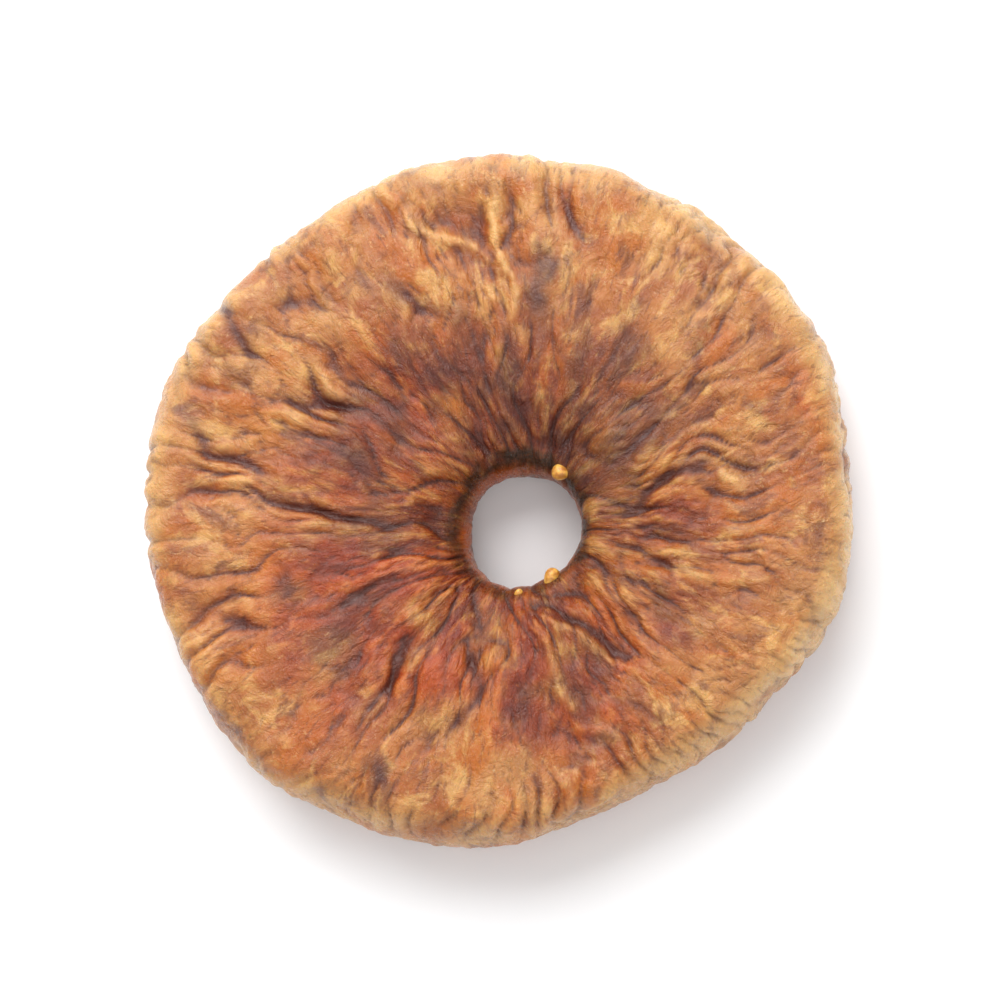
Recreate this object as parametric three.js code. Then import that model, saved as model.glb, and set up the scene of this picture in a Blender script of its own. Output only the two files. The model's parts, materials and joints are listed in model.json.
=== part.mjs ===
// A dried fig pressed into a flat ring, the way figs are threaded on a string and pressed for keeping.
// The skin is gathered towards the string hole on both faces, so each face dips there, climbs to a
// broad crest and rounds over a soft rim. The whole fruit is one solid.
// Millimetres, +Z up. The fig lies on one face. The origin is on the surface that it rests on, under
// the middle of its outline. Bearings turn from +X towards +Y, about the axis of the string hole.
import * as THREE from "three";

// Driving dimensions.
const THICKNESS = 9.5;
const BORE_RADIUS = 4.3;
// From the hole's axis to the rim, at equal bearings. The hole sits off the middle of the fruit.
const RIM_REACH = [
  25.0, 26.2, 27.0, 28.0, 28.5, 29.4, 28.8, 29.4,
  28.7, 28.0, 26.6, 24.9, 23.2, 21.8, 21.9, 23.8,
];

// The section through one side of the ring. Shares run from 0 at the hole's wall to 1 at the rim.
const CREST_SHARE = 0.86;
const FLAT_FROM_SHARE = 0.3;
const FLAT_TO_SHARE = 0.8;
const RIM_HEIGHT = 5.2;
const WALL_HEIGHT = 3.9;
const UPPER_LIP_HEIGHT = 7.0;
const LOWER_LIP_HEIGHT = 1.6;
const LIP_SHARE = 0.08;
// The handles, as two points of (share, height), that shape each curve of the section.
const LOWER_WALL_HANDLES = [0, 3, 0.02, 2.4];
const LOWER_LIP_HANDLES = [0.13, 0.6, 0.2, 0];
const UNDER_RIM_HANDLES = [0.93, 0, 1, 2];
const SHOULDER_HANDLES = [1, 8.1, 0.96, THICKNESS];
const UPPER_FACE_HANDLES = [0.5, THICKNESS, 0.2, 8.4];
const UPPER_WALL_HANDLES = [0.02, 6.3, 0, 5.6];

// The pleats that the gathered skin makes round the hole.
const PLEAT_DEPTH = 0.35;
const PLEAT_COUNTS = [13, 8, 5];
const PLEAT_PHASE = 2.1;
const PLEATS_FADE_SHARE = 0.75;
// How far the hole is from a true circle.
const BORE_UNEVENNESS = 0.18;
const BORE_LOBES = 3;

const FULL_TURN = 2 * Math.PI;
const BEARING_STEPS = 96;
const FACE_STEPS = 5;
const RIM_STEPS = 5;

// A smooth closed curve through the numbers of a list, read at a share of the full turn.
function aroundTheRing(values, turn) {
  const place = turn * values.length;
  const start = Math.floor(place);
  const step = place - start;
  const [before, from, to, after] = [-1, 0, 1, 2].map(
    (offset) => values[(start + offset + values.length) % values.length],
  );
  const slope = to - before;
  const bend = 2 * before - 5 * from + 4 * to - after;
  const twist = 3 * (from - to) + after - before;
  return from + 0.5 * step * (slope + step * (bend + step * twist));
}

// The closed section as points of (share, height), from the hole's wall under the ring, round the
// rim and back over the top.
function sectionPoints() {
  const under = new THREE.Path();
  under.moveTo(0, WALL_HEIGHT);
  under.bezierCurveTo(...LOWER_WALL_HANDLES, LIP_SHARE, LOWER_LIP_HEIGHT);
  under.bezierCurveTo(...LOWER_LIP_HANDLES, FLAT_FROM_SHARE, 0);
  under.lineTo(FLAT_TO_SHARE, 0);
  const over = new THREE.Path();
  over.moveTo(FLAT_TO_SHARE, 0);
  over.bezierCurveTo(...UNDER_RIM_HANDLES, 1, RIM_HEIGHT);
  over.bezierCurveTo(...SHOULDER_HANDLES, CREST_SHARE, THICKNESS);
  const down = new THREE.Path();
  down.moveTo(CREST_SHARE, THICKNESS);
  down.bezierCurveTo(...UPPER_FACE_HANDLES, LIP_SHARE, UPPER_LIP_HEIGHT);
  down.bezierCurveTo(...UPPER_WALL_HANDLES, 0, WALL_HEIGHT);
  return [
    ...under.getPoints(FACE_STEPS).slice(0, -1),
    ...over.getPoints(RIM_STEPS).slice(0, -1),
    ...down.getPoints(FACE_STEPS),
  ];
}

// The height that the pleats take off a point of the upper face. The resting face stays flat.
function pleatDip(turn, share, height) {
  const wave = PLEAT_COUNTS.reduce(
    (sum, count, index) => sum + Math.cos(FULL_TURN * count * turn + index * PLEAT_PHASE),
    0,
  );
  const onUpperFace = THREE.MathUtils.smoothstep(height, RIM_HEIGHT, UPPER_LIP_HEIGHT);
  const nearHole = 1 - THREE.MathUtils.smoothstep(share, 0, PLEATS_FADE_SHARE);
  return PLEAT_DEPTH * onUpperFace * nearHole * (0.5 - wave / (2 * PLEAT_COUNTS.length));
}

// The section is turned about the hole's axis on a circle of radius 1, and each point is then drawn
// out from the uneven hole to the uneven rim.
function pressedRing() {
  const section = sectionPoints().map(({ x, y }) => new THREE.Vector2(x + 1, y));
  const ring = new THREE.LatheGeometry(section, BEARING_STEPS).rotateX(Math.PI / 2);
  const points = ring.getAttribute("position");
  const point = new THREE.Vector3();
  for (let i = 0; i < points.count; i += 1) {
    point.fromBufferAttribute(points, i);
    const radius = Math.hypot(point.x, point.y);
    const share = radius - 1;
    const turn = (Math.atan2(point.y, point.x) / FULL_TURN + 1) % 1;
    const bore =
      BORE_RADIUS + BORE_UNEVENNESS * Math.cos(FULL_TURN * BORE_LOBES * turn);
    const reach = bore + share * (aroundTheRing(RIM_REACH, turn) - bore);
    points.setXYZ(
      i,
      (point.x / radius) * reach,
      (point.y / radius) * reach,
      point.z - pleatDip(turn, share, point.z),
    );
  }
  return ring;
}

const flesh = new THREE.MeshStandardMaterial({
  color: new THREE.Color(0.48, 0.2, 0.08),
  roughness: 0.5,
  metalness: 0,
});

const ring = pressedRing();
ring.computeBoundingBox();
const middle = ring.boundingBox.getCenter(new THREE.Vector3());
ring.translate(-middle.x, -middle.y, -ring.boundingBox.min.z);

const fig = new THREE.Mesh(ring, flesh);
fig.name = "dried_fig";

const part = new THREE.Group();
part.add(fig);

export default part;
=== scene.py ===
import json
import math

import bmesh
import bpy
import numpy as np
from mathutils import Matrix, Vector, noise


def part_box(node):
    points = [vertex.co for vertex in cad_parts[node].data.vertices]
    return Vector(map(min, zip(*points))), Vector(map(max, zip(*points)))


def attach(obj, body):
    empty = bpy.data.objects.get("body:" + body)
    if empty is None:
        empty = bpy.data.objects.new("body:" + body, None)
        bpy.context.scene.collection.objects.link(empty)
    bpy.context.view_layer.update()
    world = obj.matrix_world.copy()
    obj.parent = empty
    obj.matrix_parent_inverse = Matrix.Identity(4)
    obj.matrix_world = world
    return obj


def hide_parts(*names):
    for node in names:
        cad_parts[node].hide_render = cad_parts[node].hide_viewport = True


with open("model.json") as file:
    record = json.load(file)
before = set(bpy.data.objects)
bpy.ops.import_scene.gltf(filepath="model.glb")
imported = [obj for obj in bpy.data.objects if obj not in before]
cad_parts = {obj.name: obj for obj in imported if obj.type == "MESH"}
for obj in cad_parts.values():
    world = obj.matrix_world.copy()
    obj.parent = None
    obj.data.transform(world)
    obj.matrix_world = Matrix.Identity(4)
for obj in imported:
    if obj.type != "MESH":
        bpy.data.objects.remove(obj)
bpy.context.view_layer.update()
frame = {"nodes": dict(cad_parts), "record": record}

# Everything below is worked out in millimetres, and made metres as it is put into the scene.
MM = 0.001
NODE = "dried_fig"
LOW, HIGH = (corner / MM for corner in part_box(NODE))
THICKNESS = HIGH.z - LOW.z
MIDDLE = (LOW + HIGH) / 2

# The string hole's axis, from the opening that the record states.
HOLE_BOX = frame["record"]["physics"]["openings"][0]["box_m"]
# The hole's radius, to the nearest millimetre.
HOLE_RADIUS = 4
HOLE_X, HOLE_Y = ((HOLE_BOX[0][k] + HOLE_BOX[1][k]) / 2 / MM for k in (0, 1))

# The skin is a grid of bearings round the hole by stations round the ring's section.
BEARINGS = 720
STATIONS = 136
# About how far apart the stations come out on the upper face.
STATION_MM = 0.29
BEARING = np.arange(BEARINGS)[:, None] * (2 * math.pi / BEARINGS)
# How many bearings the plain solid's outline has.
CAD_BEARINGS = 96

SEED = 20


# ------------------------------------------------------------------ camera, light and floor

VIEW_DIRECTION = Vector((0.13, -0.15, 0.98)).normalized()
LENS = 150
SENSOR = 36
# The width that the picture takes in at the fig.
FRAME_WIDTH = 76.0


def aim(thing, direction, up):
    """Turns a camera or light so that it looks back along direction, with up at the top."""
    right = up.cross(direction).normalized()
    top = direction.cross(right)
    thing.matrix_world = Matrix.Translation(thing.location) @ Matrix(
        (right, top, direction)
    ).transposed().to_4x4()


def add_camera():
    data = bpy.data.cameras.new("camera")
    data.lens = LENS
    data.sensor_width = SENSOR
    data.clip_start = 0.01
    camera = bpy.data.objects.new("camera", data)
    bpy.context.collection.objects.link(camera)
    distance = FRAME_WIDTH * LENS / SENSOR
    target = Vector((MIDDLE.x, MIDDLE.y, THICKNESS / 2))
    camera.location = (target + VIEW_DIRECTION * distance) * MM
    aim(camera, VIEW_DIRECTION, Vector((0, 1, 0)))
    bpy.context.scene.camera = camera


def add_soft_light(name, azimuth, elevation, distance, size, watts, tint=(1, 1, 1)):
    """A square soft light, aimed at the fig. Azimuth turns from +X towards +Y, in degrees."""
    data = bpy.data.lights.new(name, "AREA")
    data.size = size
    data.energy = watts
    data.color = tint
    light = bpy.data.objects.new(name, data)
    bpy.context.collection.objects.link(light)
    a, e = math.radians(azimuth), math.radians(elevation)
    direction = Vector((math.cos(e) * math.cos(a), math.cos(e) * math.sin(a), math.sin(e)))
    light.location = direction * distance
    aim(light, direction, Vector((0.01, 0.02, 1)))


def add_studio():
    add_soft_light("key_light", 105, 47, 0.55, 0.5, 3.7)
    add_soft_light("fill_light", -60, 62, 0.75, 0.5, 1.3)
    world = bpy.data.worlds.new("studio_air")
    world.use_nodes = True
    background = world.node_tree.nodes["Background"]
    background.inputs["Color"].default_value = (0.97, 0.985, 1.0, 1)
    background.inputs["Strength"].default_value = 0.66
    bpy.context.scene.world = world
    bpy.context.scene.view_settings.view_transform = "Standard"

    bm = bmesh.new()
    bmesh.ops.create_grid(bm, x_segments=1, y_segments=1, size=3)
    mesh = bpy.data.meshes.new("table_top")
    bm.to_mesh(mesh)
    bm.free()
    floor = bpy.data.objects.new("table_top", mesh)
    bpy.context.collection.objects.link(floor)
    paper = bpy.data.materials.new("white_table")
    paper.use_nodes = True
    shader = paper.node_tree.nodes["Principled BSDF"]
    shader.inputs["Base Color"].default_value = (0.93, 0.93, 0.935, 1)
    shader.inputs["Roughness"].default_value = 0.55
    mesh.materials.append(paper)


# ------------------------------------------------------------------ the pressed ring's plain form


def bezier(start, lead, trail, end, count=80):
    t = np.linspace(0, 1, count, endpoint=False)[:, None]
    points = [np.array(p, float) for p in (start, lead, trail, end)]
    weights = ((1 - t) ** 3, 3 * (1 - t) ** 2 * t, 3 * (1 - t) * t**2, t**3)
    return sum(w * p for w, p in zip(weights, points))


# Shares and heights that the section passes through.
WALL_HEIGHT = 3.9
UPPER_LIP = (0.06, 7.5)
LOWER_LIP = (0.08, 1.6)
CREST_SHARE = 0.86
RIM_HEIGHT = 5.2
FLAT_FROM_SHARE = 0.3
FLAT_TO_SHARE = 0.8


def section():
    """The ring's section as (share, height) at each station, from the hole's wall over the top,
    round the rim and back underneath. Share is 0 at the hole's wall and 1 at the rim."""
    wall, crest_highlight = (0, WALL_HEIGHT), (CREST_SHARE, THICKNESS)
    rim = (1, RIM_HEIGHT)
    flat_from, flat_to = (FLAT_FROM_SHARE, 0), (FLAT_TO_SHARE, 0)
    # How densely each stretch gets stations, and its curve.
    stretches = [
        (1.0, bezier(wall, (0, 5.5), (0.012, 6.7), UPPER_LIP)),
        (1.0, bezier(UPPER_LIP, (0.14, 8.7), (0.45, THICKNESS), crest_highlight)),
        (1.0, bezier(crest_highlight, (0.96, THICKNESS), (1, 8.1), rim)),
        (0.65, bezier(rim, (1, 2.0), (0.93, 0), flat_to)),
        (0.35, bezier(flat_to, (0.65, 0), (0.45, 0), flat_from)),
        (0.5, bezier(flat_from, (0.2, 0), (0.13, 0.6), LOWER_LIP)),
        (0.6, bezier(LOWER_LIP, (0.02, 2.4), (0, 3), wall)),
    ]
    points = np.vstack([p for _, p in stretches])
    density = np.concatenate([np.full(len(p), d) for d, p in stretches])
    after = np.roll(points, -1, axis=0)
    span = (HIGH.x - LOW.x) / 2 - HOLE_RADIUS
    length = np.hypot((after[:, 0] - points[:, 0]) * span, after[:, 1] - points[:, 1])
    travelled = np.concatenate([[0], np.cumsum(length * density)])
    wanted = np.arange(STATIONS) * (travelled[-1] / STATIONS)
    closed = np.vstack([points, points[:1]])
    return tuple(np.interp(wanted, travelled, closed[:, k]) for k in (0, 1))


def outline():
    """How far the hole's wall and the rim are from the hole's axis, at each bearing."""
    mesh = frame["nodes"][NODE].data
    flat = np.zeros(len(mesh.vertices) * 3)
    mesh.vertices.foreach_get("co", flat)
    x, y, _ = flat.reshape(-1, 3).T / MM
    x, y = x - HOLE_X, y - HOLE_Y
    place = np.rint(np.arctan2(y, x) / (2 * math.pi) * CAD_BEARINGS).astype(int) % CAD_BEARINGS
    wall = np.full(CAD_BEARINGS, np.inf)
    rim = np.zeros(CAD_BEARINGS)
    np.minimum.at(wall, place, np.hypot(x, y))
    np.maximum.at(rim, place, np.hypot(x, y))
    turns = np.arange(CAD_BEARINGS) * (2 * math.pi / CAD_BEARINGS)
    return [np.interp(BEARING, turns, reach, period=2 * math.pi) for reach in (wall, rim)]


SHARE, HEIGHT = section()
WALL, RIM = outline()
# The hole is drawn a little wider towards one corner.
HOLE_CORNER = math.radians(52)
CORNER_REACH = 0.5
WALL = WALL + CORNER_REACH * np.clip(np.cos(BEARING - HOLE_CORNER), 0, 1) ** 6
REACH = WALL + SHARE * (RIM - WALL)
PLAN_X = REACH * np.cos(BEARING)
PLAN_Y = REACH * np.sin(BEARING)
PLAIN = np.dstack([PLAN_X, PLAN_Y, np.broadcast_to(HEIGHT, REACH.shape)])
ON_TOP = np.arange(STATIONS) < np.argmax(SHARE)
# The length of a wave that goes round the hole a whole number of times, at each station.
CYCLES = np.arange(BEARINGS // 2 + 1)[:, None]
WAVELENGTH = 2 * math.pi * REACH.mean(axis=0) / np.maximum(CYCLES, 0.5)


def smooth(value, start, end):
    """0 before the start, 1 past the end, and a soft step between. The end may come first."""
    t = np.clip((value - start) / (end - start), 0, 1)
    return t * t * (3 - 2 * t)


# 1 on the upper face, falling to 0 round the rim and in the hole.
UPPER_AT_HOLE = smooth(HEIGHT, 3.5, 7.0)
UPPER_AT_RIM = smooth(HEIGHT, 5.2, 8.0)
UPPER = np.where(ON_TOP, np.where(SHARE < 0.5, UPPER_AT_HOLE, UPPER_AT_RIM), 0)
# 1 on the face that the fig lies on.
UNDER = np.where(ON_TOP, 0, smooth(HEIGHT, 2.5, 0.4))
# 1 on the side of the rim.
RIM_BAND = smooth(SHARE, 0.8, 0.98)


def outward_normals(points):
    around = np.roll(points, -1, axis=0) - np.roll(points, 1, axis=0)
    along = np.roll(points, -1, axis=1) - np.roll(points, 1, axis=1)
    normal = np.cross(along, around)
    return normal / np.linalg.norm(normal, axis=2, keepdims=True)


# ------------------------------------------------------------------ fields on the skin

rng = np.random.default_rng(SEED)


def cloud(size):
    """Smooth noise in space, from about -1 to 1, with lumps of about that size in millimetres."""
    shift = rng.uniform(-50, 50, 3)
    scaled = PLAIN.reshape(-1, 3) / size + shift
    values = [noise.noise(point) for point in scaled.tolist()]
    return np.array(values).reshape(BEARINGS, STATIONS) * 2


def along_blur(field, length):
    """Smooths a field along the meridians, over about that length."""
    cycles = np.fft.rfftfreq(STATIONS)
    spread = length / STATION_MM / 2
    keep = np.exp(-2 * (math.pi * cycles * spread) ** 2)
    return np.fft.irfft(np.fft.rfft(field, axis=1) * keep, STATIONS, axis=1)


def band(field, period, width=0.3):
    """Keeps what repeats about every period millimetres round the hole, at every station."""
    keep = np.exp(-(np.log(WAVELENGTH / period) ** 2) / (2 * width**2))
    return np.fft.irfft(np.fft.rfft(field, axis=0) * keep, BEARINGS, axis=0)


def gathers(period, length, width=0.3, rounds=4):
    """A wave across the meridians that keeps its period, so it forks where the ring widens."""
    wave = rng.standard_normal((BEARINGS, STATIONS))
    for _ in range(rounds):
        wave = band(along_blur(wave, length), period, width)
        wave = np.tanh(wave / wave.std(axis=0))
    wave = band(along_blur(wave, length / 2), period, width)
    return wave / wave.std(axis=0)


def swayed(field, around):
    """Reads a field that many millimetres away round the hole."""
    i = np.arange(BEARINGS)[:, None] + around / (REACH * (2 * math.pi / BEARINGS))
    j = np.arange(STATIONS)[None, :]
    near = np.floor(i).astype(int)
    step = i - near
    return field[near % BEARINGS, j] * (1 - step) + field[(near + 1) % BEARINGS, j] * step


# ------------------------------------------------------------------ creases and ridges, listed

# Each is a list of (bearing in degrees, millimetres from the hole's axis), then its half width
# and its depth in millimetres.
CREASES = [
    ([(160, 27.2), (165.5, 23.8), (168.4, 18.9)], 0.45, 0.55),
    ([(172, 19.4), (174, 16.5), (176.4, 13.5), (178, 9.2)], 0.42, 0.8),
    ([(151.5, 21), (148, 17), (144.7, 13.6)], 0.5, 0.6),
    ([(201, 17.4), (204.5, 10)], 0.4, 0.45),
    ([(197, 24), (199, 20.6)], 0.5, 0.4),
    ([(227, 11.3), (229.5, 14.4), (231, 18.8)], 0.38, 0.65),
    ([(250.5, 9.2), (256, 13.5), (251.5, 17.8)], 0.45, 0.5),
    ([(294, 7.6), (304, 9.9), (309.8, 12.6)], 0.42, 0.7),
    ([(302.3, 14.6), (304.5, 19)], 0.38, 0.35),
    ([(16.3, 15.6), (14.6, 13.9), (13.2, 9.9), (7, 7.6)], 0.38, 0.5),
    ([(57.8, 12), (60, 13.6), (57.8, 17.4)], 0.38, 0.55),
    ([(70.6, 19), (69.3, 16.5)], 0.35, 0.4),
    ([(82.5, 24.6), (77, 21.4)], 0.45, 0.6),
    ([(119.5, 21.8), (112.5, 18.8), (108, 17.4)], 0.5, 0.5),
    ([(137, 24.5), (131, 22)], 0.5, 0.4),
    ([(218, 19.5), (220.5, 22.6)], 0.4, 0.35),
    ([(40, 16.4), (43, 20.5)], 0.4, 0.3),
    ([(333, 8), (331.5, 12)], 0.4, 0.4),
    ([(190, 8), (187, 12.6)], 0.35, 0.3),
    ([(142.4, 28.8), (143.5, 26), (144.9, 23.4)], 0.5, 0.9),
]
RIDGES = [
    ([(107.7, 25), (107.2, 23.6), (102.4, 22.5), (98.3, 21.6), (95.3, 20.4)], 0.42, 0.5),
    ([(92.6, 24.6), (93.2, 21.6), (90.3, 19.2), (91.2, 16.4), (92.4, 13.6)], 0.45, 0.7),
    ([(120.4, 21.2), (115.7, 19.2), (117.7, 16)], 0.45, 0.5),
    ([(283.2, 9), (285.8, 12.1), (287.4, 15.7), (291.4, 16.6), (295.2, 18.6)], 0.4, 0.55),
    ([(262.6, 11), (263.6, 15), (264.5, 18.4)], 0.7, 0.4),
    ([(295.2, 7.9), (302, 10.5), (308, 13.6)], 0.42, 0.5),
    ([(323.4, 6.6), (319.2, 9.4), (319.9, 12.5), (321.5, 15.4)], 0.45, 0.5),
    ([(342.7, 6.6), (348.1, 8.6), (347.4, 11), (348.2, 14.8)], 0.42, 0.45),
    ([(341.8, 13), (341.7, 15.7), (347.2, 19.6)], 0.38, 0.42),
    ([(15.4, 15.4), (10.5, 15.9), (5.8, 17.3)], 0.55, 0.4),
    ([(144, 15.2), (143, 17.5), (139, 19.6)], 0.6, 0.5),
    ([(153, 19.4), (157, 22)], 0.5, 0.35),
    ([(80, 17.5), (79, 14.5)], 0.4, 0.35),
    ([(222, 8.6), (223, 12)], 0.4, 0.3),
]


def near_line(points, warp_x, warp_y):
    """The distance to a line drawn over the upper face, and the share of the way along it."""
    corners = [
        np.array((r * math.cos(math.radians(a)), r * math.sin(math.radians(a))))
        for a, r in points
    ]
    lengths = [np.linalg.norm(b - a) for a, b in zip(corners, corners[1:])]
    x, y = PLAN_X + warp_x, PLAN_Y + warp_y
    nearest = np.full(x.shape, np.inf)
    way = np.zeros(x.shape)
    passed = 0.0
    for a, b, length in zip(corners, corners[1:], lengths):
        d = (b - a) / length
        t = np.clip((x - a[0]) * d[0] + (y - a[1]) * d[1], 0, length)
        distance = np.hypot(x - a[0] - t * d[0], y - a[1] - t * d[1])
        closer = distance < nearest
        nearest = np.where(closer, distance, nearest)
        way = np.where(closer, (passed + t) / sum(lengths), way)
        passed += length
    return nearest, way


def drawn_lines(lines, warp_x, warp_y):
    """How deep each spot lies in the lines, in millimetres, and how much of a line shows there."""
    depth = np.zeros(PLAN_X.shape)
    shown = np.zeros(PLAN_X.shape)
    for points, width, deep in lines:
        distance, way = near_line(points, warp_x, warp_y)
        taper = np.sqrt(np.clip(np.sin(math.pi * (0.04 + 0.92 * way)), 0, 1))
        core = np.exp(-((distance / width) ** 2)) * taper
        shoulder = np.exp(-(((distance - 2.6 * width) / (1.4 * width)) ** 2)) * taper
        depth += 0.5 * deep * (core - 0.3 * shoulder)
        shown = np.maximum(shown, core * min(1, deep * 1.8))
    return depth * UPPER, shown * UPPER


# ------------------------------------------------------------------ stains, listed

# Each is (bearing, millimetres from the axis, half length outwards, half width, strength).
RED_ZONES = [
    (212, 13, 7.5, 8, 1.0),
    (186, 12, 5.5, 3.6, 0.7),
    (272, 14.5, 6, 2.6, 1.0),
    (258, 9, 4.5, 5, 0.7),
    (291, 14, 5.5, 2.4, 1.0),
    (236, 9.5, 4.5, 4, 0.65),
    (306, 10, 4.0, 2.2, 0.7),
    (328, 13.4, 2.6, 2.2, 0.9),
    (155, 13.6, 4.5, 3.0, 0.8),
    (130, 13, 5, 4.5, 0.55),
    (100, 10, 5.5, 6, 0.6),
    (24, 24, 1.3, 3.2, 0.45),
    (0, 11, 2.4, 2.2, 0.7),
    (195, 22, 5, 4, 0.3),
]
PLUM_ZONES = [
    (93, 8.6, 3.0, 2.4, 0.9),
    (92, 11.4, 2.0, 1.0, 1.0),
    (112, 12.4, 2.2, 2.2, 0.8),
    (121, 14.6, 2.6, 1.0, 0.7),
    (62, 8.0, 3.0, 1.3, 0.9),
    (37, 11.0, 3.4, 2.6, 0.75),
    (85.6, 18.2, 2.6, 1.3, 0.9),
    (84, 15.2, 2.0, 1.5, 0.5),
    (155, 14.2, 2.6, 1.6, 0.8),
    (146, 16.6, 3.0, 0.8, 0.7),
    (178, 10, 3.6, 1.0, 0.6),
    (275, 15.5, 3.4, 1.5, 0.75),
    (290.5, 13.4, 2.6, 1.0, 0.85),
    (291, 17.9, 1.4, 1.6, 0.7),
    (328, 13.6, 1.6, 1.6, 0.6),
    (215.6, 16.8, 1.6, 2.0, 0.7),
    (237.3, 21.7, 1.4, 0.8, 0.85),
    (205, 13, 4, 0.8, 0.5),
    (56, 14, 5, 0.8, 0.6),
    (191.5, 18.1, 0.95, 0.9, 0.95),
    (103, 14.5, 4.0, 0.9, 0.55),
    (70, 12.5, 4.0, 0.8, 0.6),
    (300, 12.5, 3.5, 0.8, 0.6),
    (140, 13.0, 3.2, 1.2, 0.5),
    (46, 6.9, 2.0, 2.6, 0.85),
    (20, 6.6, 1.6, 1.8, 0.5),
    (118, 7.2, 1.8, 1.6, 0.6),
]
PALE_ZONES = [
    (141, 18.4, 2.0, 1.6, 0.9),
    (128, 21, 2.6, 2.6, 0.5),
    (95, 25, 2.4, 12, 0.55),
    (62, 25, 2.0, 9, 0.6),
    (15, 25.4, 1.4, 9, 0.5),
    (335, 22, 2.2, 5, 0.6),
    (312, 19.6, 2.6, 4.5, 0.6),
    (268, 20.5, 2.2, 5.5, 0.5),
    (245, 17.5, 2.0, 3.0, 0.45),
    (176, 21.5, 2.4, 2.0, 0.4),
    (10, 16, 2.4, 2.4, 0.35),
    (335, 15, 2, 2, 0.4),
    (45, 20, 4, 4, 0.3),
    (140, 24, 2.4, 4, 0.4),
]
GOLD_ZONES = [
    (118.4, 10.2, 0.8, 0.6, 1.0),
    (96, 12.6, 1.6, 0.7, 0.7),
    (259, 9.8, 3.0, 1.6, 0.7),
    (262, 15, 5, 0.9, 0.7),
    (312, 8.6, 3.4, 1.1, 0.8),
    (330, 9.6, 2.6, 1.4, 0.6),
    (219, 9.2, 2.4, 1.4, 0.5),
    (196, 14, 4, 1.2, 0.4),
    (158, 20, 4.5, 1.6, 0.5),
    (20, 10, 3.4, 1.0, 0.7),
    (350, 10, 2.4, 1.2, 0.5),
    (133, 22.5, 1.6, 1.4, 0.7),
    (104, 19, 3.0, 1.8, 0.45),
    (66, 21, 3.4, 2.4, 0.45),
    (240, 15, 4.0, 1.6, 0.5),
    (190, 21, 3.0, 1.8, 0.45),
    (205, 23, 2.4, 2.0, 0.4),
    (284, 17, 3.4, 1.0, 0.6),
    (44, 9, 2.6, 1.0, 0.6),
]


def stain(zones, warp_x, warp_y):
    """How strongly a set of soft patches colours each spot of the upper face."""
    x, y = PLAN_X + warp_x, PLAN_Y + warp_y
    total = np.zeros(x.shape)
    for bearing, reach, outward, around, strength in zones:
        a = math.radians(bearing)
        u = x * math.cos(a) + y * math.sin(a) - reach
        v = y * math.cos(a) - x * math.sin(a)
        patch = np.exp(-((u / outward) ** 2 + (v / around) ** 2) ** 1.3)
        total = total + strength * patch * (1 - total)
    return total * UPPER


# ------------------------------------------------------------------ the wrinkled skin


# The nub that the stalk leaves on the rim.
NUB_BEARING = math.radians(262)
NUB_REACH = 21.2
NUB_RADIUS = 1.3
NUB_HEIGHT = 0.5


def wrinkled():
    """The height that the skin rises off the plain form, in millimetres, then how much crease and
    ridge shows, the pleats, and the way that the drawn lines wander."""
    sway = cloud(5.5) * 1.2
    wander_x, wander_y = cloud(4.5) * 0.7, cloud(4.5) * 0.7
    lumps = 0.4 * cloud(10) + 0.3 * cloud(4.6)

    pleats = swayed(gathers(4.6, 8.0), sway)
    folds = swayed(gathers(4.4, 8.0, 0.4), sway + 0.45 * cloud(3.0))
    wrinkles = swayed(gathers(2.3, 1.8, 0.5), sway + 0.35 * cloud(1.4))
    lines = swayed(gathers(1.3, 1.0, 0.4), sway + 0.18 * cloud(1.0))

    near_hole = smooth(SHARE, 0.55, 0.08)
    patchy = smooth(cloud(5.0), -0.2, 0.9)
    patchy_fine = smooth(cloud(3.4), -0.5, 0.8)
    crumple = np.abs(cloud(3.0)) + 0.55 * np.abs(cloud(1.5)) + 0.3 * np.abs(cloud(0.8))

    def puffed(wave):
        """Round crests with sharp creases between them."""
        return np.sqrt(np.abs(wave) + 0.02) - 0.85

    # From the broadest forms to the finest. The skin is calmest at the hole's edge.
    rise = lumps * (UPPER + 0.6 * RIM_BAND).clip(0, 1)
    rise = rise + 0.3 * near_hole * puffed(pleats) * (1 - 0.5 * UNDER)
    rise = rise + (0.12 + 0.34 * patchy) * (1 - 0.4 * near_hole) * puffed(folds)
    rise = rise + (0.04 + 0.13 * patchy_fine) * puffed(wrinkles)
    rise = rise + 0.05 * puffed(lines)
    rise = rise + 0.16 * (crumple - 0.6) * (1 - 0.5 * RIM_BAND)
    rise = rise * (0.35 + 0.65 * smooth(SHARE, 0.0, 0.08))

    crease_depth, in_crease = drawn_lines(CREASES, wander_x, wander_y)
    ridge_depth, on_ridge = drawn_lines(RIDGES, wander_x, wander_y)
    rise = rise - crease_depth + ridge_depth
    nub_x, nub_y = (NUB_REACH * f(NUB_BEARING) for f in (math.cos, math.sin))
    from_nub = np.hypot(PLAN_X - nub_x, PLAN_Y - nub_y)
    rise = rise + NUB_HEIGHT * np.exp(-((from_nub / NUB_RADIUS) ** 2)) * UPPER
    return rise, in_crease, on_ridge, pleats, (wander_x, wander_y)


def hollowness(points, spread):
    """How far each spot lies below the skin around it, in millimetres."""
    rise = np.einsum("ijk,ijk->ij", points - PLAIN, NORMALS)
    level = along_blur(rise, spread)
    keep = np.exp(-((spread * 2 / WAVELENGTH) ** 2))
    level = np.fft.irfft(np.fft.rfft(level, axis=0) * keep, BEARINGS, axis=0)
    return level - rise


NORMALS = outward_normals(PLAIN)
# The highest that a wrinkle may stand over the plain form, and how far below that it slows down.
HEADROOM = 0.25
SLOWING = 0.6


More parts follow.
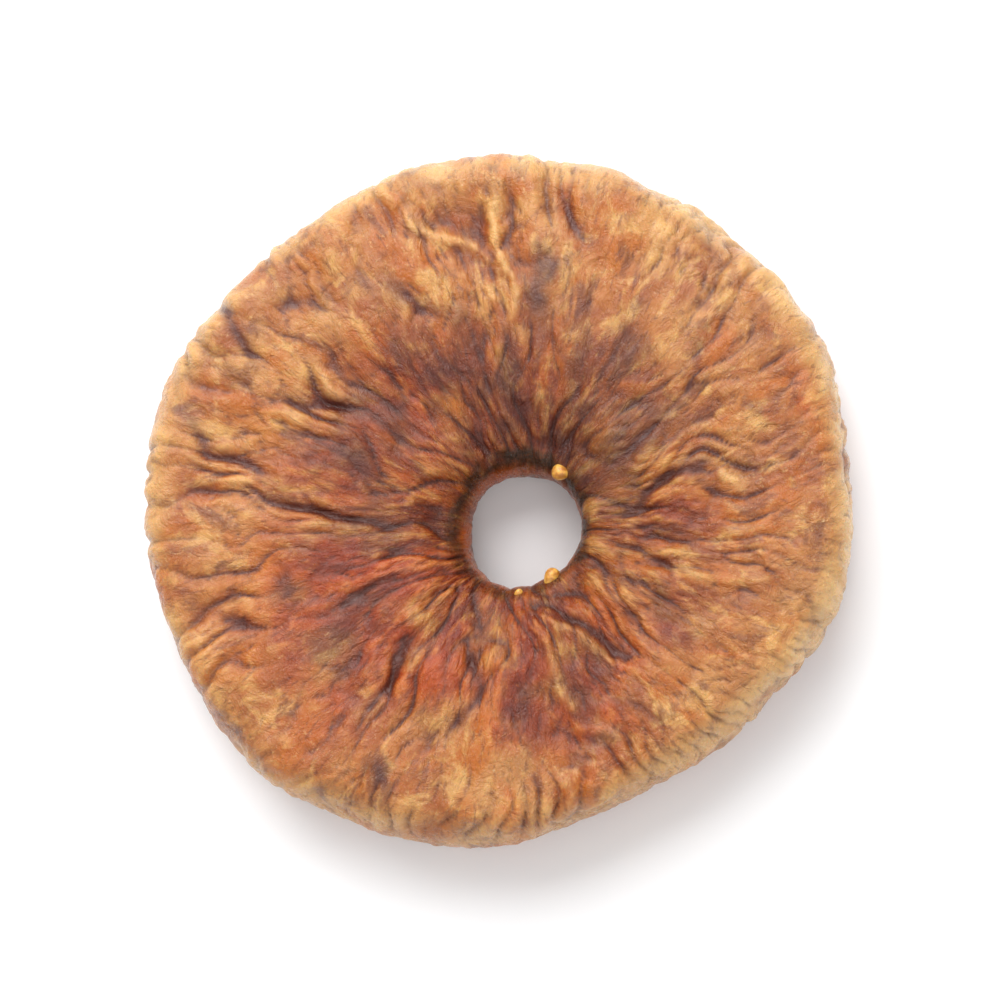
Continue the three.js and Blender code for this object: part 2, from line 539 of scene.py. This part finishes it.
def raised(rise):
    """The skin's points. The face that the fig lies on only sinks, so it stays on the table."""
    rise = rise * (1 - UNDER) + np.minimum(rise, 0) * UNDER
    points = PLAIN + NORMALS * rise[:, :, None]
    points[:, :, 2] = np.maximum(points[:, :, 2], 0)
    ceiling = THICKNESS + HEADROOM
    over = np.maximum(points[:, :, 2] - (ceiling - SLOWING), 0)
    points[:, :, 2] -= over - SLOWING * np.tanh(over / SLOWING)
    return points


# ------------------------------------------------------------------ the marks that colour the skin, painted shade and highlights among them


def side(bearing):
    """1 at a bearing, in degrees, and -1 on the far side of the hole."""
    return np.cos(BEARING - math.radians(bearing))


def skin_marks(points, in_crease, on_ridge, pleats, wander):
    """How strongly each of the material's marks shows on the skin, from 0 to 1. Some of the marks are
    painted shade, highlight and glow.
    """
    warp_x = wander[0] * 1.6 + cloud(1.1) * 0.35
    warp_y = wander[1] * 1.6 + cloud(1.1) * 0.35
    blotches = cloud(3.0) + 0.6 * cloud(1.4)
    red = stain(RED_ZONES, warp_x, warp_y) * smooth(blotches, -1.2, 0.5)
    plum = stain(PLUM_ZONES, warp_x, warp_y) * (0.65 + 0.35 * smooth(cloud(1.5), -0.5, 0.5))
    gold = stain(GOLD_ZONES, warp_x * 0.6, warp_y * 0.6)
    pale = stain(PALE_ZONES, warp_x, warp_y) * smooth(cloud(1.8), -0.9, 0.6)
    rim_pale = smooth(SHARE, 0.86, 0.99) * smooth(HEIGHT, 1.5, 5.5)
    pale = np.maximum(pale, 0.75 * rim_pale * smooth(cloud(4.0), -1.1, 0.4))
    age = smooth(SHARE, 0.75, 0.1) + 0.2 * cloud(6.0)

    # Painted shade at the edge of the hole, darkest on its upper right.
    hole_edge_shade = smooth(SHARE + 0.022 * cloud(1.2), 0.066, 0.026) * smooth(HEIGHT, 5.6, 6.8)
    hole_edge_shade = hole_edge_shade * (0.62 + 0.38 * smooth(side(70), -0.9, 0.3))

    # Painted shade darkens the hollows and painted highlight lightens the high spots, at three
    # widths.
    hollow = hollowness(points, 1.8)
    hollow_fine = hollowness(points, 0.6)
    hollow_broad = hollowness(points, 4.5)
    deep = smooth(hollow, 0.02, 0.26) * 0.55 + smooth(hollow_fine, 0.02, 0.09) * 0.35
    # Painted shade also lies in the creases between the pleats near the hole.
    deep = deep + 0.45 * smooth(np.abs(pleats), 0.55, 0.0) * smooth(SHARE, 0.65, 0.3) * UPPER
    deep = deep * (1 - 0.55 * smooth(SHARE, 0.72, 0.95))
    high = smooth(-hollow, 0.06, 0.26) * 0.4 + smooth(-hollow_fine, 0.02, 0.08) * 0.3
    broken = smooth(cloud(1.3), -0.6, 0.5)

    # The wall of the hole is raw flesh, with a painted glow of light through it that is brightest on
    # its left.
    on_wall = smooth(SHARE, 0.03, 0.005) * smooth(HEIGHT, 7.2, 5.8)
    glow_side = smooth(side(160), -0.2, 0.8)
    glow = on_wall * (0.35 + 0.6 * glow_side * smooth(cloud(2.4), -0.8, 0.4))

    # The rim's shoulder is cream with a painted highlight, strongest on the right and, less, along
    # the top.
    highlight_side = np.maximum(side(22).clip(0, 1) ** 0.6, 0.75 * side(100).clip(0, 1))
    rim_cream_highlight = smooth(SHARE, 0.9, 0.98) * smooth(HEIGHT, 3.0, 6.0) * highlight_side
    rim_cream_highlight = rim_cream_highlight * (0.15 + 0.55 * smooth(cloud(2.0), -0.8, 0.6))
    return {
        "red": red,
        "plum": plum,
        "gold": gold,
        "pale": pale,
        "age": age.clip(0, 1),
        "hole_edge_shade": hole_edge_shade,
        # Painted shade in the creases and hollows.
        "crease_shade": (0.85 * in_crease * (0.5 + 0.5 * broken) + deep).clip(0, 0.95),
        # Painted highlight on the ridges and high spots.
        "crest_highlight": (0.5 * on_ridge * broken + high).clip(0, 0.85),
        "shade": smooth(hollow_broad, 0.0, 0.45) * (1 - 0.5 * smooth(SHARE, 0.8, 0.97)),
        "glow": glow,
        "rim_cream_highlight": rim_cream_highlight,
    }


# ------------------------------------------------------------------ materials


class Shading:
    """A few words for wiring shader nodes."""

    def __init__(self, name):
        self.material = bpy.data.materials.new(name)
        self.material.use_nodes = True
        self.nodes = self.material.node_tree.nodes
        self.links = self.material.node_tree.links
        self.shader = self.nodes["Principled BSDF"]

    def wire(self, source, target):
        if isinstance(source, (int, float)):
            target.default_value = source
        elif isinstance(source, tuple):
            target.default_value = (*source, 1)
        else:
            self.links.new(source, target)

    def attribute(self, name, output="Fac"):
        node = self.nodes.new("ShaderNodeAttribute")
        node.attribute_name = name
        return node.outputs[output]

    def place(self, scale, source=None, stretch=(1, 1, 1)):
        """Coordinates in millimetres divided by scale."""
        if source is None:
            source = self.nodes.new("ShaderNodeTexCoord").outputs["Object"]
            factor = 1 / MM / scale
        else:
            factor = 1 / scale
        mapping = self.nodes.new("ShaderNodeMapping")
        mapping.inputs["Scale"].default_value = tuple(factor / s for s in stretch)
        self.links.new(source, mapping.inputs["Vector"])
        return mapping.outputs["Vector"]

    def noise(self, vector, detail=3, roughness=0.55, distortion=0.0):
        node = self.nodes.new("ShaderNodeTexNoise")
        node.inputs["Scale"].default_value = 1
        node.inputs["Detail"].default_value = detail
        node.inputs["Roughness"].default_value = roughness
        node.inputs["Distortion"].default_value = distortion
        self.links.new(vector, node.inputs["Vector"])
        return node.outputs["Fac"]

    def math(self, operation, a, b=0.0):
        node = self.nodes.new("ShaderNodeMath")
        node.operation = operation
        self.wire(a, node.inputs[0])
        self.wire(b, node.inputs[1])
        return node.outputs[0]

    def range(self, value, low, high, to_low=0.0, to_high=1.0):
        node = self.nodes.new("ShaderNodeMapRange")
        node.interpolation_type = "SMOOTHSTEP"
        for name, number in zip(
            ("From Min", "From Max", "To Min", "To Max"), (low, high, to_low, to_high)
        ):
            node.inputs[name].default_value = number
        self.links.new(value, node.inputs["Value"])
        return node.outputs["Result"]

    def mix(self, amount, first, second, blend="MIX"):
        node = self.nodes.new("ShaderNodeMix")
        node.data_type = "RGBA"
        node.blend_type = blend
        self.wire(amount, node.inputs["Factor"])
        self.wire(first, node.inputs["A"])
        self.wire(second, node.inputs["B"])
        return node.outputs["Result"]

    def bump(self, height, distance, under=None):
        """Raises the surface by the height times that many millimetres."""
        node = self.nodes.new("ShaderNodeBump")
        node.inputs["Strength"].default_value = 1
        node.inputs["Distance"].default_value = distance * MM
        self.links.new(height, node.inputs["Height"])
        if under is not None:
            self.links.new(under, node.inputs["Normal"])
        return node.outputs["Normal"]

    def glow_through(self, weight, colour, depth):
        """Lets light into the flesh, to about that many millimetres."""
        self.shader.inputs["Subsurface Weight"].default_value = weight
        self.shader.inputs["Subsurface Radius"].default_value = colour
        self.shader.inputs["Subsurface Scale"].default_value = depth * MM


# The skin's own colours, from the outer skin to the old skin near the hole. The crest and rim
# highlight, the crease and hole edge shade and the wall's glow below are painted light.
OUTER_DARK, OUTER_LIGHT = (0.36, 0.1, 0.02), (0.5, 0.195, 0.05)
INNER_DARK, INNER_LIGHT = (0.2, 0.036, 0.01), (0.34, 0.085, 0.016)
AMBER = (0.47, 0.125, 0.008)
GOLD = (0.52, 0.17, 0.015)
PALE_TAN = (0.66, 0.38, 0.14)
HONEY = (0.72, 0.42, 0.145)
CREST_HIGHLIGHT_TAN = (0.7, 0.4, 0.15)
RIM_CREAM_HIGHLIGHT = (0.86, 0.58, 0.28)
SUGAR = (0.72, 0.45, 0.2)
DARK_BROWN = (0.14, 0.034, 0.016)
THREAD_BROWN = (0.12, 0.025, 0.01)
CREASE_SHADE_BROWN = (0.1, 0.022, 0.014)
PLUM = (0.075, 0.02, 0.018)
RAW_FLESH_AND_GLOW = (0.6, 0.13, 0.012)
HOLE_EDGE_SHADE_BROWN = (0.045, 0.018, 0.007)
# Glazes, which the colour under them is multiplied by.
SHADE_GLAZE = (0.68, 0.51, 0.36)
RED_GLAZE = (0.9, 0.4, 0.17)
AGE_GLAZE = (0.88, 0.78, 0.56)
SEED_DARK, SEED_LIGHT = (0.42, 0.15, 0.02), (0.78, 0.42, 0.08)


def skin_colour(s, grain):
    """Soft patches first, with painted highlights on the crests and rim, then fine flecks and
    threads, then the painted shade that the shape makes, the stains and the wall's painted glow.
    """
    patches = s.range(s.noise(s.place(3.0, grain, (1, 1, 1.6)), 6, 0.62, 0.5), 0.38, 0.62)
    outer = s.mix(patches, OUTER_DARK, OUTER_LIGHT)
    inner = s.mix(patches, INNER_DARK, INNER_LIGHT)
    colour = s.mix(s.attribute("age"), outer, inner)
    amber = s.noise(s.place(2.4, grain, (1, 1, 2.0)), 4, 0.55, 0.4)
    colour = s.mix(s.range(amber, 0.48, 0.62, 0, 0.8), colour, AMBER)
    colour = s.mix(s.attribute("gold"), colour, GOLD)
    colour = s.mix(s.attribute("pale"), colour, PALE_TAN)

    light = s.noise(s.place(1.5, grain, (1, 1, 1.8)), 5, 0.6, 0.5)
    colour = s.mix(s.range(light, 0.51, 0.69, 0, 0.68), colour, HONEY)
    dark = s.noise(s.place(1.4, grain, (1, 1, 2.2)), 5, 0.62, 0.6)
    colour = s.mix(s.range(dark, 0.5, 0.68, 0, 0.66), colour, DARK_BROWN)
    # Painted highlight on the crests.
    colour = s.mix(s.attribute("crest_highlight"), colour, CREST_HIGHLIGHT_TAN)
    # The rim's cream shoulder, with its painted highlight.
    colour = s.mix(s.attribute("rim_cream_highlight"), colour, RIM_CREAM_HIGHLIGHT)
    flecks = s.noise(s.place(0.3, grain, (1, 1, 1.7)), 4, 0.7)
    colour = s.mix(s.range(flecks, 0.58, 0.72, 0, 0.5), colour, SUGAR)
    threads = s.noise(s.place(0.3, grain, (1, 1, 4.5)), 4, 0.65, 0.5)
    colour = s.mix(s.range(threads, 0.55, 0.7, 0, 0.5), colour, THREAD_BROWN)

    colour = s.mix(s.attribute("shade"), colour, SHADE_GLAZE, "MULTIPLY")
    colour = s.mix(s.attribute("red"), colour, RED_GLAZE, "MULTIPLY")
    # Painted shade, darkest in the creases and hollows.
    colour = s.mix(s.attribute("crease_shade"), colour, CREASE_SHADE_BROWN)
    colour = s.mix(s.attribute("plum"), colour, PLUM)
    # The raw flesh of the hole's wall, with its painted glow.
    colour = s.mix(s.attribute("glow"), colour, RAW_FLESH_AND_GLOW)
    depth = s.range(s.attribute("age"), 0.0, 0.8, 0.35, 1)
    colour = s.mix(depth, colour, AGE_GLAZE, "MULTIPLY")
    # Painted shade at the edge of the hole, broken up by noise.
    edge_shade_breakup = s.range(s.noise(s.place(0.9), 5, 0.65, 0.5), 0.36, 0.56, 0.6, 1)
    return s.mix(s.math("MULTIPLY", s.attribute("hole_edge_shade"), edge_shade_breakup), colour, HOLE_EDGE_SHADE_BROWN)


def fig_material():
    s = Shading("sun_dried_fig_skin")
    grain = s.attribute("grain", "Vector")
    s.wire(skin_colour(s, grain), s.shader.inputs["Base Color"])

    fine = s.noise(s.place(0.3, grain, (1, 1, 2.6)), 5, 0.65, 0.4)
    pores = s.noise(s.place(0.8), 6, 0.66, 0.6)
    netting = s.noise(s.place(1.3, grain, (1, 1, 1.5)), 4, 0.6, 0.8)
    netting = s.math("ABSOLUTE", s.math("SUBTRACT", netting, 0.5))
    normal = s.bump(fine, 0.13)
    normal = s.bump(pores, 0.14, under=normal)
    normal = s.bump(netting, 0.5, under=normal)
    s.wire(normal, s.shader.inputs["Normal"])

    gloss = s.range(s.noise(s.place(1.6), 3), 0.3, 0.7, 0.2, 0.36)
    s.wire(gloss, s.shader.inputs["Roughness"])
    s.glow_through(0.3, (1.0, 0.36, 0.12), 1.2)
    s.shader.inputs["IOR"].default_value = 1.45
    s.shader.inputs["Specular IOR Level"].default_value = 0.5
    s.shader.inputs["Coat Weight"].default_value = 0.16
    s.shader.inputs["Coat Roughness"].default_value = 0.28
    return s.material


def seed_material():
    s = Shading("fig_seed_shell")
    shade = s.range(s.noise(s.place(0.5), 4, 0.6), 0.35, 0.65)
    s.wire(s.mix(shade, SEED_DARK, SEED_LIGHT), s.shader.inputs["Base Color"])
    s.wire(s.bump(s.noise(s.place(0.25), 3), 0.05), s.shader.inputs["Normal"])
    s.shader.inputs["Roughness"].default_value = 0.32
    s.glow_through(0.3, (1.0, 0.4, 0.1), 0.5)
    return s.material


# ------------------------------------------------------------------ the fig


# The radius of the ring before it is shaped, where its tube's radius is 1.
SPUN_RADIUS = 3
# The skin's grain is laid out as round a hole of this radius, so that it is even all over.
GRAIN_RADIUS = 16.0


def ring_mesh():
    """A closed ring of quads: a circle of stations, spun once round the hole. With it come the
    bearing and the station of each of its points."""
    bm = bmesh.new()
    bmesh.ops.create_circle(bm, segments=STATIONS, radius=1)
    bmesh.ops.rotate(bm, verts=bm.verts[:], matrix=Matrix.Rotation(math.pi / 2, 3, "X"))
    bmesh.ops.translate(bm, verts=bm.verts[:], vec=(SPUN_RADIUS, 0, 0))
    bmesh.ops.spin(
        bm,
        geom=bm.verts[:] + bm.edges[:],
        axis=(0, 0, 1),
        cent=(0, 0, 0),
        angle=2 * math.pi,
        steps=BEARINGS,
        use_merge=True,
    )
    bmesh.ops.recalc_face_normals(bm, faces=bm.faces[:])
    mesh = bpy.data.meshes.new("dried_fig_skin")
    bm.to_mesh(mesh)
    bm.free()
    flat = np.zeros(len(mesh.vertices) * 3)
    mesh.vertices.foreach_get("co", flat)
    x, y, z = flat.reshape(-1, 3).T
    turn = np.arctan2(y, x) / (2 * math.pi)
    lap = 0.5 - np.arctan2(z, np.hypot(x, y) - SPUN_RADIUS) / (2 * math.pi)
    i = np.rint(turn * BEARINGS).astype(int) % BEARINGS
    j = np.rint(lap * STATIONS).astype(int) % STATIONS
    return mesh, i, j


def skin_grain():
    """Where each point is along the grain: round the hole in x and y, and along the meridian in z."""
    travelled = np.arange(STATIONS) * STATION_MM
    parts = (GRAIN_RADIUS * np.cos(BEARING), GRAIN_RADIUS * np.sin(BEARING), travelled)
    return np.dstack([np.broadcast_to(part, REACH.shape) for part in parts])


def add_piece(name, mesh, material):
    mesh.polygons.foreach_set("use_smooth", np.ones(len(mesh.polygons), bool))
    mesh.materials.append(material)
    piece = bpy.data.objects.new(name, mesh)
    bpy.context.collection.objects.link(piece)
    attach(piece, "root")
    return piece


def add_fig():
    """Adds the fig and gives back its skin's points, in millimetres from the hole's axis."""
    mesh, i, j = ring_mesh()
    rise, in_crease, on_ridge, pleats, wander = wrinkled()
    points = raised(rise)
    placed = points + np.array((HOLE_X, HOLE_Y, 0))
    mesh.vertices.foreach_set("co", (placed[i, j] * MM).astype(np.float32).ravel())
    mesh.update()

    marks = skin_marks(points, in_crease, on_ridge, pleats, wander)
    for name, values in marks.items():
        attribute = mesh.attributes.new(name, "FLOAT", "POINT")
        shown = np.broadcast_to(values, REACH.shape)
        attribute.data.foreach_set("value", shown[i, j].astype(np.float32))
    attribute = mesh.attributes.new("grain", "FLOAT_VECTOR", "POINT")
    attribute.data.foreach_set("vector", skin_grain()[i, j].astype(np.float32).ravel())

    fig = add_piece("pressed_fig", mesh, fig_material())
    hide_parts(NODE)
    return points


# Seeds that show at the hole: bearing, millimetres from the axis, half length, half width.
SEEDS = [
    (303, 4.5, 0.75, 0.55),
    (53, 5.3, 0.7, 0.6),
    (270, 5.0, 0.34, 0.26),
]
# How much each seed is turned from the meridian, in degrees, how much broader its round end is,
# and how far its middle stands out of the skin, as a share of its half width.
SEED_TURN = 25
SEED_TAPER = 0.28
SEED_STANDING = 0.1
# The lowest place in the hole for a seed.
LOWEST_SEED = 5


def add_seeds(points):
    """Sinks each seed half into the skin."""
    bm = bmesh.new()
    reach = np.hypot(points[:, :, 0], points[:, :, 1])
    for bearing, wanted, half_length, half_width in SEEDS:
        i = round(bearing / 360 * BEARINGS)
        open_skin = ON_TOP & (HEIGHT > LOWEST_SEED)
        j = int(np.argmin(np.where(open_skin, np.abs(reach[i] - wanted), np.inf)))
        x, y, z = points[i, j] + NORMALS[i, j] * half_width * SEED_STANDING
        shape = Matrix.Diagonal((half_width, half_length, half_width, 1))
        turn = Matrix.Rotation(math.radians(bearing + SEED_TURN), 4, "Z")
        place = Matrix.Translation((x + HOLE_X, y + HOLE_Y, z)) @ turn @ shape
        seed = bmesh.ops.create_icosphere(bm, subdivisions=3, radius=1)["verts"]
        for vert in seed:
            vert.co.x *= 1 + SEED_TAPER * vert.co.y
        bmesh.ops.transform(bm, matrix=place, verts=seed)
    bmesh.ops.scale(bm, vec=(MM, MM, MM), verts=bm.verts[:])
    mesh = bpy.data.meshes.new("fig_seeds")
    bm.to_mesh(mesh)
    bm.free()
    add_piece("fig_seeds", mesh, seed_material())


add_camera()
add_studio()
add_seeds(add_fig())
